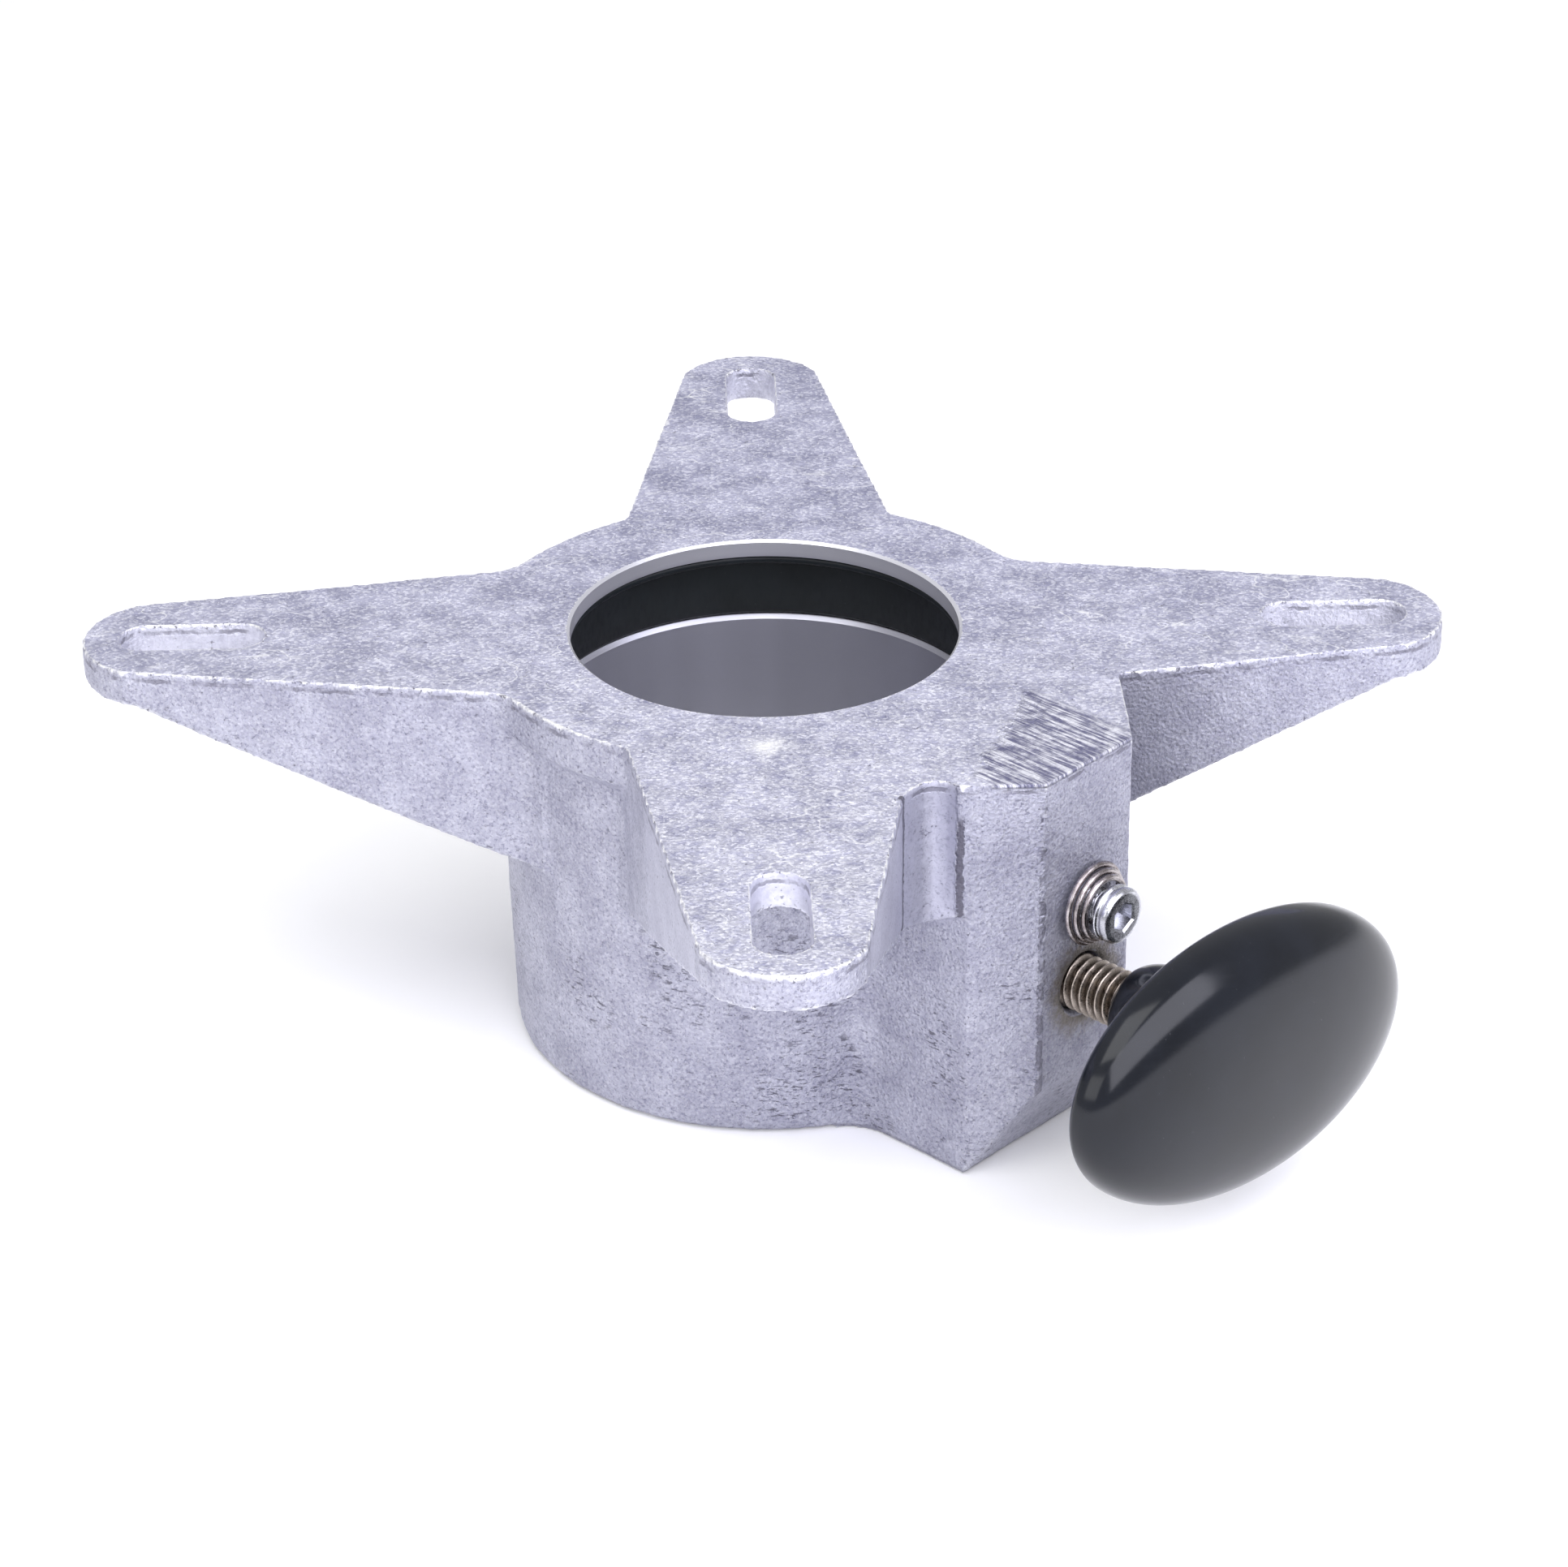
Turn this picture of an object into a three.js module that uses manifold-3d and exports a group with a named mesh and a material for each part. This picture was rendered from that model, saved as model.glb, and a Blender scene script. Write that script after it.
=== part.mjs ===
// Four-arm cast seat mount for a round stanchion post, with a clamp knob and a spring-loaded tension screw.
// Millimetres. The post's axis is Z, the drum stands on z = 0, and the arms lie along X and Y.
import * as THREE from 'three';
import { mergeVertices } from 'three/addons/utils/BufferGeometryUtils.js';
import Module from 'manifold-3d';

// Casting: plate and drum.
const HEIGHT = 71;
const PLATE_THICKNESS = 6;
const PLATE_RADIUS = 47.3;
const PLATE_RIM_DEPTH = 8;
const DRUM_TOP_RADIUS = 44.4;
const DRUM_BOTTOM_RADIUS = 42.7;
const EDGE_ROUND = 1.4;

// Casting: bore for a 73 mm post, the machined lip above it and the recess of the bushing.
const BORE_RADIUS = 36.7;
const BORE_CHAMFER = 1;
const RECESS_CHAMFER = 0.7;
const LIP_RADIUS = 31.8;
const LIP_THICKNESS = 3;
const RECESS_RADIUS = 38.9;
const RECESS_DEPTH = 16.6;
const BUSHING_FLANGE = { inner: 32.2, thickness: 1.3 };

// Casting: arms, drawn along +X.
const ARM_REACH = 111;
const ARM_TIP_RADIUS = 13.5;
const ARM_TIP_CORNER = { along: 103.5, half: 12 };
const ARM_ROOT = { along: 43.5, half: 22.2 };
const ARM_WALL = 4.5;
const WEB_SLOPE = 0.434;
const WEB_END = 103;
const SIDE_ARM_FILLET = 7;
const END_ARM_FILLET = 2.5;
const SLOT_CENTRE = 93.2;
const SLOT_LENGTH = 23.6;
const SLOT_WIDTH = 8.6;

// Casting: clamp boss between the +X and -Y arms. Its axis is the diagonal, turned by BOSS_TURN.
const BOSS_TURN = -Math.PI / 4;
const BOSS_FACE = 69.1;
const BOSS_HALF_WIDTH = 18.6;
const BOSS_FLANK = 56.2;
const BOSS_FILLET = 8;
const BOSS_BEVEL = { height: 15.6, depth: 8.7 };
const BOSS_SIDE_START = 41.2;
const BOSS_GROOVE = [
  [19.6, -58.8],
  [21, -56.6],
  [22.8, -54.9],
  [24.6, -54.4],
  [26.4, -54.8],
  [28.3, -BOSS_FLANK],
];
const HOLE_START = 20;
const HOLE_SINK = 0.8;

// Clamp stud (3/8-16 thread), its pad and the oval knob, all along the diagonal.
const STUD_HEIGHT = 31;
const STUD_RADIUS = 4.7;
const STUD_ROOT_RADIUS = 3.8;
const STUD_PITCH = 1.5875;
const STUD_START = 46;
const STUD_THREAD_END = 80.5;
const STUD_END = 101;
const STUD_HOLE_RADIUS = 5.05;
const STUD_PAD_LENGTH = 8.4;
const KNOB_HUB_START = 78.6;
const KNOB_HUB_PROFILE = [[6.3, 78.6], [8, 81.6], [9.6, 93], [9.6, 99.2]];
const KNOB_RIM = 99.2;
const KNOB_FRONT = 109.6;
const KNOB_BACK_DEPTH = 5;
const KNOB_HALF_WIDTH = 39;
const KNOB_HALF_HEIGHT = 23;
const KNOB_FULLNESS = 2.4;
const KNOB_TILT_DEGREES = -9;

// Tension screw (1/4-20 thread), its pad and its conical spring, above the stud.
const SCREW_HEIGHT = 46;
const SCREW_RADIUS = 3.1;
const SCREW_ROOT_RADIUS = 2.4;
const SCREW_PITCH = 1.27;
const SCREW_START = 44;
const SCREW_HEAD_START = 74.1;
const SCREW_HEAD_END = 76.8;
const SCREW_HEAD_RADIUS = 4.75;
const SCREW_SOCKET_RADIUS = 2.75;
const SCREW_SOCKET_DEPTH = 2.2;
const SCREW_HOLE_RADIUS = 3.45;
const SCREW_HEAD_CHAMFER = 0.6;
const SCREW_PAD_LENGTH = 6.4;
const SPRING_TURNS = 3.2;
const SPRING_WIRE_RADIUS = 0.55;
const SPRING_BASE_RADIUS = 6.85;
const SPRING_TOP_RADIUS = 4.6;

const ROUND = 80;
const SMALL_ROUND = 24;
const THREAD_ROUND = 18;
const GAP = 0.3;
const PAD_CHAMFER = 0.6;
const PAD_LOOK = { color: 0xd9d6c8, roughness: 0.6, metalness: 0 };

const wasm = await Module();
wasm.setup();

function solidOf(geometry) {
  const bare = geometry.clone();
  bare.deleteAttribute('normal');
  bare.deleteAttribute('uv');
  const merged = mergeVertices(bare, 1e-4);
  const mesh = new wasm.Mesh({
    numProp: 3,
    vertProperties: new Float32Array(merged.attributes.position.array),
    triVerts: new Uint32Array(merged.index.array),
  });
  return new wasm.Manifold(mesh);
}

function geometryOf(solid) {
  const mesh = solid.getMesh();
  const geometry = new THREE.BufferGeometry();
  geometry.setAttribute('position', new THREE.BufferAttribute(new Float32Array(mesh.vertProperties), 3));
  geometry.setIndex(new THREE.BufferAttribute(new Uint32Array(mesh.triVerts), 1));
  const flat = geometry.toNonIndexed();
  flat.computeVertexNormals();
  return flat;
}

function joined(solids) {
  return solids.reduce((total, solid) => total.add(solid));
}

// A solid of revolution about Z from [radius, z] pairs that start and end on the axis, bottom first.
function turned(profile, segments = ROUND) {
  const points = profile.map(([radius, z]) => new THREE.Vector2(radius, z));
  const geometry = new THREE.LatheGeometry(points, segments);
  geometry.rotateX(Math.PI / 2);
  return solidOf(geometry);
}

function cylinder(radius, bottom, top, segments = ROUND) {
  return turned([[0, bottom], [radius, bottom], [radius, top], [0, top]], segments);
}

function prism(shape, bottom, top, curveSegments = 7) {
  const geometry = new THREE.ExtrudeGeometry(shape, {
    depth: top - bottom,
    bevelEnabled: false,
    curveSegments,
  });
  geometry.translate(0, 0, bottom);
  return solidOf(geometry);
}

function polygon(points) {
  return new THREE.Shape(points.map(([x, y]) => new THREE.Vector2(x, y)));
}

function turn(solid, angle) {
  return solid.rotate([0, 0, THREE.MathUtils.radToDeg(angle)]);
}

// Turns a solid made along +Z so that it runs out along the clamp boss's diagonal at the given height.
function alongBoss(solid, height) {
  return turn(solid.rotate([0, 90, 0]).translate([0, 0, height]), BOSS_TURN);
}

// The concave fillet between a straight edge (outward normal, offset) and a circle about the origin.
function rootFillet(normal, offset, circle, fillet) {
  const along = Math.sqrt((circle + fillet) ** 2 - (offset + fillet) ** 2);
  const direction = new THREE.Vector2(normal.y, -normal.x);
  const centre = normal.clone().multiplyScalar(offset + fillet).addScaledVector(direction, along);
  const onEdge = centre.clone().addScaledVector(normal, -fillet);
  const onCircle = centre.clone().multiplyScalar(circle / (circle + fillet));
  return { centre, onEdge, onCircle };
}

function angleFrom(centre, point) {
  return Math.atan2(point.y - centre.y, point.x - centre.x);
}

// A tapered arm in plan along +X, with fillets onto a circle about the origin and a round tip.
function armOutline(circle, fillet, inset = 0) {
  const edge = new THREE.Vector2(
    ARM_TIP_CORNER.along - ARM_ROOT.along,
    ARM_TIP_CORNER.half - ARM_ROOT.half,
  ).normalize();
  const normal = new THREE.Vector2(-edge.y, edge.x);
  const offset = ARM_ROOT.along * normal.x + ARM_ROOT.half * normal.y - inset;
  const root = rootFillet(normal, offset, circle, fillet);
  const tipRadius = ARM_TIP_RADIUS - inset;
  const tipCentre = ARM_REACH - ARM_TIP_RADIUS;
  const cornerAngle = Math.atan2(ARM_TIP_CORNER.half, ARM_TIP_CORNER.along - tipCentre);
  const start = angleFrom(root.centre, root.onCircle);
  const end = angleFrom(root.centre, root.onEdge);
  const shape = new THREE.Shape();
  shape.moveTo(0, 0);
  shape.lineTo(root.onCircle.x, -root.onCircle.y);
  shape.absarc(root.centre.x, -root.centre.y, fillet, -start, -end, true);
  shape.absarc(tipCentre, 0, tipRadius, -cornerAngle, cornerAngle, false);
  shape.lineTo(root.onEdge.x, root.onEdge.y);
  shape.absarc(root.centre.x, root.centre.y, fillet, end, start, true);
  shape.closePath();
  return shape;
}

// Everything above the sloping lower edge that the arm webs share: a cone about the post's axis.
function aboveWebEdge() {
  const plateUnderside = HEIGHT - PLATE_THICKNESS;
  const wide = ARM_REACH + 10;
  return turned([
    [0, plateUnderside - WEB_END * WEB_SLOPE],
    [WEB_END, plateUnderside],
    [wide, plateUnderside],
    [wide, HEIGHT],
    [0, HEIGHT],
  ]);
}

function slotShape() {
  const half = SLOT_WIDTH / 2;
  const reach = SLOT_LENGTH / 2 - half;
  const shape = new THREE.Shape();
  shape.absarc(SLOT_CENTRE + reach, 0, half, -Math.PI / 2, Math.PI / 2, false);
  shape.absarc(SLOT_CENTRE - reach, 0, half, Math.PI / 2, 1.5 * Math.PI, false);
  shape.closePath();
  return shape;
}

function arm(angle, fillet) {
  const underside = HEIGHT - PLATE_THICKNESS;
  const plate = prism(armOutline(PLATE_RADIUS, fillet), underside, HEIGHT);
  const webs = prism(armOutline(DRUM_TOP_RADIUS, fillet), 0, HEIGHT).intersect(aboveWebEdge());
  const channel = prism(armOutline(DRUM_TOP_RADIUS, 1, ARM_WALL), -1, underside);
  const slot = prism(slotShape(), -1, HEIGHT + 1);
  return turn(webs.subtract(channel).add(plate).subtract(slot), angle);
}

function drum() {
  const rimBottom = HEIGHT - PLATE_RIM_DEPTH;
  const body = turned([
    [0, 0],
    [DRUM_BOTTOM_RADIUS - EDGE_ROUND, 0],
    [DRUM_BOTTOM_RADIUS - EDGE_ROUND * 0.3, EDGE_ROUND * 0.3],
    [DRUM_BOTTOM_RADIUS, EDGE_ROUND],
    [DRUM_TOP_RADIUS, HEIGHT],
    [0, HEIGHT],
  ]);
  const rim = turned([
    [0, rimBottom - 2],
    [DRUM_TOP_RADIUS - 0.5, rimBottom - 2],
    [PLATE_RADIUS, rimBottom + 1],
    [PLATE_RADIUS, HEIGHT],
    [0, HEIGHT],
  ]);
  return body.add(rim);
}

// The clamp boss: a block along the diagonal with two flanks parallel to the arms and a bevelled foot.
function boss() {
  const normal = new THREE.Vector2(0, 1);
  const root = rootFillet(normal, BOSS_HALF_WIDTH, DRUM_BOTTOM_RADIUS, BOSS_FILLET);
  const start = angleFrom(root.centre, root.onCircle);
  const end = angleFrom(root.centre, root.onEdge);
  const corner = BOSS_FLANK * Math.SQRT2;
  const block = new THREE.Shape();
  block.moveTo(0, 0);
  block.lineTo(root.onCircle.x, -root.onCircle.y);
  block.absarc(root.centre.x, -root.centre.y, BOSS_FILLET, -start, -end, true);
  block.lineTo(corner - BOSS_HALF_WIDTH, -BOSS_HALF_WIDTH);
  block.lineTo(BOSS_FACE, BOSS_FACE - corner);
  block.lineTo(BOSS_FACE, corner - BOSS_FACE);
  block.lineTo(corner - BOSS_HALF_WIDTH, BOSS_HALF_WIDTH);
  block.lineTo(root.onEdge.x, root.onEdge.y);
  block.absarc(root.centre.x, root.centre.y, BOSS_FILLET, end, start, true);
  block.closePath();
  const bevel = polygon([
    [BOSS_FACE - BOSS_BEVEL.depth, 0],
    [BOSS_FACE, BOSS_BEVEL.height],
    [BOSS_FACE + 5, BOSS_BEVEL.height],
    [BOSS_FACE + 5, -5],
    [BOSS_FACE - BOSS_BEVEL.depth, -5],
  ]);
  const cutter = prism(bevel, -40, 40).rotate([90, 0, 0]);
  return turn(prism(block, 0, HEIGHT).subtract(cutter), BOSS_TURN);
}

// The metal between the boss and the two arms beside it, down to the arms' lower edge.
// The front side has a shallow groove between the arm and the boss.
function bossShoulders() {
  const insideDrum = DRUM_TOP_RADIUS * Math.SQRT1_2;
  const front = polygon([
    [ARM_ROOT.half - ARM_WALL, -insideDrum],
    [ARM_ROOT.half - ARM_WALL, -ARM_ROOT.along],
    ...BOSS_GROOVE,
    [BOSS_SIDE_START, -BOSS_FLANK],
    [BOSS_SIDE_START, -insideDrum],
  ]);
  const webCentre = ARM_ROOT.half - ARM_WALL;
  const side = polygon([
    [insideDrum, -webCentre],
    [BOSS_FLANK, -webCentre],
    [BOSS_FLANK, -BOSS_SIDE_START],
    [insideDrum, -BOSS_SIDE_START],
  ]);
  return prism(front, 0, HEIGHT).add(prism(side, 0, HEIGHT)).intersect(aboveWebEdge());
}

function bore() {
  return turned([
    [0, -BORE_CHAMFER],
    [BORE_RADIUS + 2 * BORE_CHAMFER, -BORE_CHAMFER],
    [BORE_RADIUS, BORE_CHAMFER],
    [BORE_RADIUS, HEIGHT - RECESS_DEPTH - RECESS_CHAMFER],
    [BORE_RADIUS + RECESS_CHAMFER, HEIGHT - RECESS_DEPTH],
    [RECESS_RADIUS, HEIGHT - RECESS_DEPTH],
    [RECESS_RADIUS, HEIGHT - LIP_THICKNESS],
    [LIP_RADIUS, HEIGHT - LIP_THICKNESS],
    [LIP_RADIUS, HEIGHT + 1],
    [0, HEIGHT + 1],
  ]);
}

// A screw hole out through the boss's face, with a small countersink at its mouth.
function screwHole(radius, height) {
  const outside = BOSS_FACE + HOLE_SINK;
  const hole = turned([
    [0, HOLE_START],
    [radius, HOLE_START],
    [radius, BOSS_FACE - HOLE_SINK],
    [radius + HOLE_SINK, BOSS_FACE],
    [radius + HOLE_SINK, outside],
    [0, outside],
  ], SMALL_ROUND);
  return alongBoss(hole, height);
}

function spiderCasting() {
  const arms = [
    arm(0, SIDE_ARM_FILLET),
    arm(Math.PI, SIDE_ARM_FILLET),
    arm(Math.PI / 2, END_ARM_FILLET),
    arm(-Math.PI / 2, END_ARM_FILLET),
  ];
  const body = joined([drum(), boss(), bossShoulders(), ...arms]);
  const cuts = joined([
    bore(),
    screwHole(STUD_HOLE_RADIUS, STUD_HEIGHT),
    screwHole(SCREW_HOLE_RADIUS, SCREW_HEIGHT),
  ]);
  return body.subtract(cuts);
}

// The bushing: a sleeve in the recess with a thin flange turned in under the lip.
function upperBushing() {
  const top = HEIGHT - LIP_THICKNESS - GAP;
  const bottom = HEIGHT - RECESS_DEPTH + GAP;
  const outer = RECESS_RADIUS - GAP;
  const inner = BORE_RADIUS + 0.1;
  const ring = [
    [inner, bottom],
    [outer, bottom],
    [outer, top],
    [BUSHING_FLANGE.inner, top],
    [BUSHING_FLANGE.inner, top - BUSHING_FLANGE.thickness],
    [inner, top - BUSHING_FLANGE.thickness],
    [inner, bottom],
  ];
  return turned(ring);
}

// A threaded rod along +Z, its thread drawn as ring grooves at the thread's pitch.
function threadedRod(radius, root, pitch, start, end, tail) {
  const profile = [[0, start], [root, start]];
  const turns = Math.floor((end - start) / pitch);
  for (let i = 0; i < turns; i += 1) {
    const z = start + i * pitch;
    profile.push([radius, z + pitch / 2]);
    profile.push([root, z + pitch]);
  }
  profile.push(...tail);
  return turned(profile, THREAD_ROUND);
}

function knobStud() {
  const plain = STUD_RADIUS - 0.4;
  const rod = threadedRod(STUD_RADIUS, STUD_ROOT_RADIUS, STUD_PITCH, STUD_START, STUD_THREAD_END, [
    [plain, STUD_THREAD_END],
    [plain, STUD_END],
    [0, STUD_END],
  ]);
  return alongBoss(rod, STUD_HEIGHT);
}

// The knob's oval body: a sphere stretched to an oval, with a full rim, a domed front and a flatter back.
function ovalBody() {
  const geometry = new THREE.SphereGeometry(1, 44, 20);
  geometry.rotateX(Math.PI / 2);
  const position = geometry.attributes.position;
  const point = new THREE.Vector3();
  for (let i = 0; i < position.count; i += 1) {
    point.fromBufferAttribute(position, i);
    const reach = Math.min(1, Math.hypot(point.x, point.y));
    const spread = reach > 0 ? reach ** (2 / KNOB_FULLNESS) / reach : 0;
    const rise = Math.sign(point.z) * Math.abs(point.z) ** (2 / KNOB_FULLNESS);
    const depth = rise > 0 ? KNOB_FRONT - KNOB_RIM : KNOB_BACK_DEPTH;
    position.setXYZ(
      i,
      point.x * spread * KNOB_HALF_HEIGHT,
      point.y * spread * KNOB_HALF_WIDTH,
      KNOB_RIM + rise * depth,
    );
  }
  return solidOf(geometry);
}

function clampKnob() {
  const hub = turned([[0, KNOB_HUB_START], ...KNOB_HUB_PROFILE, [0, KNOB_RIM]], 2 * SMALL_ROUND);
  const studSocket = cylinder(STUD_RADIUS + GAP, KNOB_HUB_START - GAP, STUD_END + GAP, SMALL_ROUND);
  const body = ovalBody().add(hub).subtract(studSocket);
  return alongBoss(body.rotate([0, 0, KNOB_TILT_DEGREES]), STUD_HEIGHT);
}

// A soft pad in front of a screw's tip, bevelled where it meets the post.
function pad(radius, back, length, height) {
  const tip = back - length;
  const solid = turned([
    [0, tip],
    [radius - PAD_CHAMFER, tip],
    [radius, tip + PAD_CHAMFER],
    [radius, back],
    [0, back],
  ], SMALL_ROUND);
  return alongBoss(solid, height);
}

function tensionScrew() {
  const rod = threadedRod(SCREW_RADIUS, SCREW_ROOT_RADIUS, SCREW_PITCH, SCREW_START, SCREW_HEAD_START, [
    [SCREW_RADIUS, SCREW_HEAD_START],
    [SCREW_HEAD_RADIUS, SCREW_HEAD_START],
    [SCREW_HEAD_RADIUS, SCREW_HEAD_END - SCREW_HEAD_CHAMFER],
    [SCREW_HEAD_RADIUS - SCREW_HEAD_CHAMFER, SCREW_HEAD_END],
    [0, SCREW_HEAD_END],
  ]);
  const socket = cylinder(SCREW_SOCKET_RADIUS, SCREW_HEAD_END - SCREW_SOCKET_DEPTH, SCREW_HEAD_END + 1, 6);
  return alongBoss(rod.subtract(socket), SCREW_HEIGHT);
}

// A conical coil between the boss's face and the underside of the screw's head.
class ConicalCoil extends THREE.Curve {
  getPoint(t, target = new THREE.Vector3()) {
    const angle = 2 * Math.PI * SPRING_TURNS * t;
    const radius = THREE.MathUtils.lerp(SPRING_BASE_RADIUS, SPRING_TOP_RADIUS, t);
    const first = BOSS_FACE + SPRING_WIRE_RADIUS + GAP;
    const last = SCREW_HEAD_START - SPRING_WIRE_RADIUS - GAP;
    const z = THREE.MathUtils.lerp(first, last, t);
    return target.set(radius * Math.cos(angle), radius * Math.sin(angle), z);
  }
}

function tensionSpring() {
  const section = new THREE.Shape();
  section.absarc(0, 0, SPRING_WIRE_RADIUS, 0, 2 * Math.PI, false);
  const geometry = new THREE.ExtrudeGeometry(section, {
    steps: Math.round(SPRING_TURNS * 20),
    curveSegments: 4,
    bevelEnabled: false,
    extrudePath: new ConicalCoil(),
  });
  return alongBoss(solidOf(geometry), SCREW_HEIGHT);
}

const BODIES = {
  spider_casting: { solid: spiderCasting(), color: 0xc3c2d2, roughness: 0.55, metalness: 0.9 },
  upper_bushing: { solid: upperBushing(), color: 0x262a2e, roughness: 0.5, metalness: 0 },
  clamp_knob: { solid: clampKnob(), color: 0x1c1e22, roughness: 0.25, metalness: 0 },
  knob_stud: { solid: knobStud(), color: 0x8a7f74, roughness: 0.4, metalness: 1 },
  clamp_pad: {
    solid: pad(STUD_ROOT_RADIUS, STUD_START - GAP, STUD_PAD_LENGTH, STUD_HEIGHT),
    ...PAD_LOOK,
  },
  tension_screw: { solid: tensionScrew(), color: 0xb9bac2, roughness: 0.25, metalness: 1 },
  tension_spring: { solid: tensionSpring(), color: 0xa7a5a6, roughness: 0.3, metalness: 1 },
  tension_pad: {
    solid: pad(SCREW_ROOT_RADIUS, SCREW_START - GAP, SCREW_PAD_LENGTH, SCREW_HEIGHT),
    ...PAD_LOOK,
  },
};

const model = new THREE.Group();
for (const [name, { solid, color, roughness, metalness }] of Object.entries(BODIES)) {
  const material = new THREE.MeshStandardMaterial({ color, roughness, metalness });
  const mesh = new THREE.Mesh(geometryOf(solid), material);
  mesh.name = name;
  model.add(mesh);
}

export default model;
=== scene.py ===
"""Looks for the stanchion seat base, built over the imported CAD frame. Metres, in the row's frame."""

import math

import bmesh
import bpy
import numpy as np
from mathutils import Matrix, Quaternion, Vector, noise


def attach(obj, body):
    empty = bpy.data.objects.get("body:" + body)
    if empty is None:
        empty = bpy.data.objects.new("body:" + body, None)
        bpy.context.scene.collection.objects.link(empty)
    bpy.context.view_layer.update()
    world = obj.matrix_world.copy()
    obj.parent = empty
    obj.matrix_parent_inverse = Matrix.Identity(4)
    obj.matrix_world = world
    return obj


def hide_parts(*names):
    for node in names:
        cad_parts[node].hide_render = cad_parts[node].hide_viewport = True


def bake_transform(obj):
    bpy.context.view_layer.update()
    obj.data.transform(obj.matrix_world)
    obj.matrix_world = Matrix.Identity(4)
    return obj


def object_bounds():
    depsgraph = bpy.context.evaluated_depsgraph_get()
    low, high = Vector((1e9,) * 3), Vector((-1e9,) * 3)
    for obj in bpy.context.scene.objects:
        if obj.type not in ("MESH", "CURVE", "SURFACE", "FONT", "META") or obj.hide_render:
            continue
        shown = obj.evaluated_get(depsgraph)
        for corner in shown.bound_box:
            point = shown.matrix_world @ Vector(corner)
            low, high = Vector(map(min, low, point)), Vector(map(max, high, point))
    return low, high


MM = 0.001

# The casting's machined surfaces, as in the CAD model (mm).
CASTING_HEIGHT = 71.0
BORE_RADIUS = 36.7
LIP_RADIUS = 31.8
LIP_THICKNESS = 3.0
RECESS_RADIUS = 38.9
RECESS_DEPTH = 16.6
PLUG_RADIUS = 40.5
BOSS_TURN = -math.pi / 4
BOSS_FACE = 69.1

# Where surface marks, painted light and painted shade lie on the casting, in mm on plan.
SLOT_NEAR = 81.0
SLOT_FAR = 105.4
SLOT_HALF_WIDTH = 4.7
GROOVE_EDGE = (28.3, -56.4)
GROOVE_FOOT = (19.4, -59.2)
BOSS_CORNER = (41.5, -56.2)
BRIGHT_SPOT = (-0.8, -42.0)

# Cast unevenness of the surface: (size of its features, height), in mm.
BROAD_WAVES = (9.0, 0.13)
FINE_WAVES = (2.2, 0.09)
FLAT_SHARE = 0.35

# The clamp stud, its pad and the knob (mm along the clamp boss's axis).
STUD = {"height": 31.0, "radius": 4.7, "root": 3.8, "pitch": 1.5875, "start": 46.0, "end": 80.5}
STUD_HOLE_RADIUS = 5.05
STUD_TAIL = {"radius": 4.3, "end": 101.0}
CLAMP_TIP_LENGTH = 8.4
KNOB_RIM = 99.2
KNOB_FRONT = 109.6
KNOB_BACK_DEPTH = 5.0
KNOB_HALF_WIDTH = 39.0
KNOB_HALF_HEIGHT = 23.0
KNOB_FULLNESS = 2.4
KNOB_TILT = math.radians(-9)

# The tension screw, its pad and its spring (mm along the clamp boss's axis).
SCREW = {"height": 46.0, "radius": 3.1, "root": 2.4, "pitch": 1.27, "start": 44.0, "end": 73.4}
SCREW_HOLE_RADIUS = 3.45
TENSION_TIP_LENGTH = 6.4
SCREW_HEAD = {"start": 74.1, "end": 76.8, "radius": 4.75, "socket": 2.45, "socket_depth": 2.2}
SPRING = {"turns": 3.2, "wire": 0.55, "base": 6.85, "top": 4.6}
TOUCH_GAP = 0.3

# The casting's mesh (m): its voxels, how far it is drawn in, how far it stays inside the CAD box,
# and how proud of its surroundings a point is on a full edge.
VOXEL = 0.5 * MM
DRAWN_IN = 0.02 * MM
BOX_MARGIN = 1e-6
EDGE_BEND = 0.12 * MM
GRAIN_SEED = Vector((17.3, 5.1, 9.7))

# The camera: the photographed view, in the row's frame.
CAMERA_LENS = 102.4
CAMERA_DISTANCE = 0.7277
CAMERA_ELEVATION = math.radians(28.71)
CAMERA_YAW = math.radians(-1.44)
CAMERA_ROLL = math.radians(0.58)
CAMERA_RIGHT = 0.00293
CAMERA_UP = -0.02597

# The lamps aim at the middle of the part, and the long strip lamp at the knob (m).
PART_MIDDLE = (0, 0, 0.04)
KNOB_PLACE = (0.075, -0.075, 0.03)
STRIP_ROLL = math.radians(10)


# ---------------------------------------------------------------- meshes


def new_object(name, mesh, matrix=None):
    piece = bpy.data.objects.new(name, mesh)
    bpy.context.scene.collection.objects.link(piece)
    if matrix is not None:
        piece.matrix_world = matrix
    bpy.context.view_layer.update()
    return piece


def mesh_from(name, points, faces):
    mesh = bpy.data.meshes.new(name)
    mesh.from_pydata([tuple(p) for p in points], [], faces)
    mesh.update()
    made = bmesh.new()
    made.from_mesh(mesh)
    bmesh.ops.recalc_face_normals(made, faces=made.faces)
    made.to_mesh(mesh)
    made.free()
    return mesh


def shade_smooth(mesh, angle=35):
    """Smooth faces, with an edge left sharp where its faces meet at more than the angle."""
    made = bmesh.new()
    made.from_mesh(mesh)
    limit = math.radians(angle)
    for face in made.faces:
        face.smooth = True
    for edge in made.edges:
        edge.smooth = len(edge.link_faces) == 2 and edge.calc_face_angle(0) < limit
    made.to_mesh(mesh)
    made.free()


def settled(piece):
    """Applies the piece's modifiers."""
    graph = bpy.context.evaluated_depsgraph_get()
    mesh = bpy.data.meshes.new_from_object(piece.evaluated_get(graph))
    piece.modifiers.clear()
    piece.data = mesh


def drop(piece):
    bpy.data.objects.remove(piece, do_unlink=True)


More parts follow.
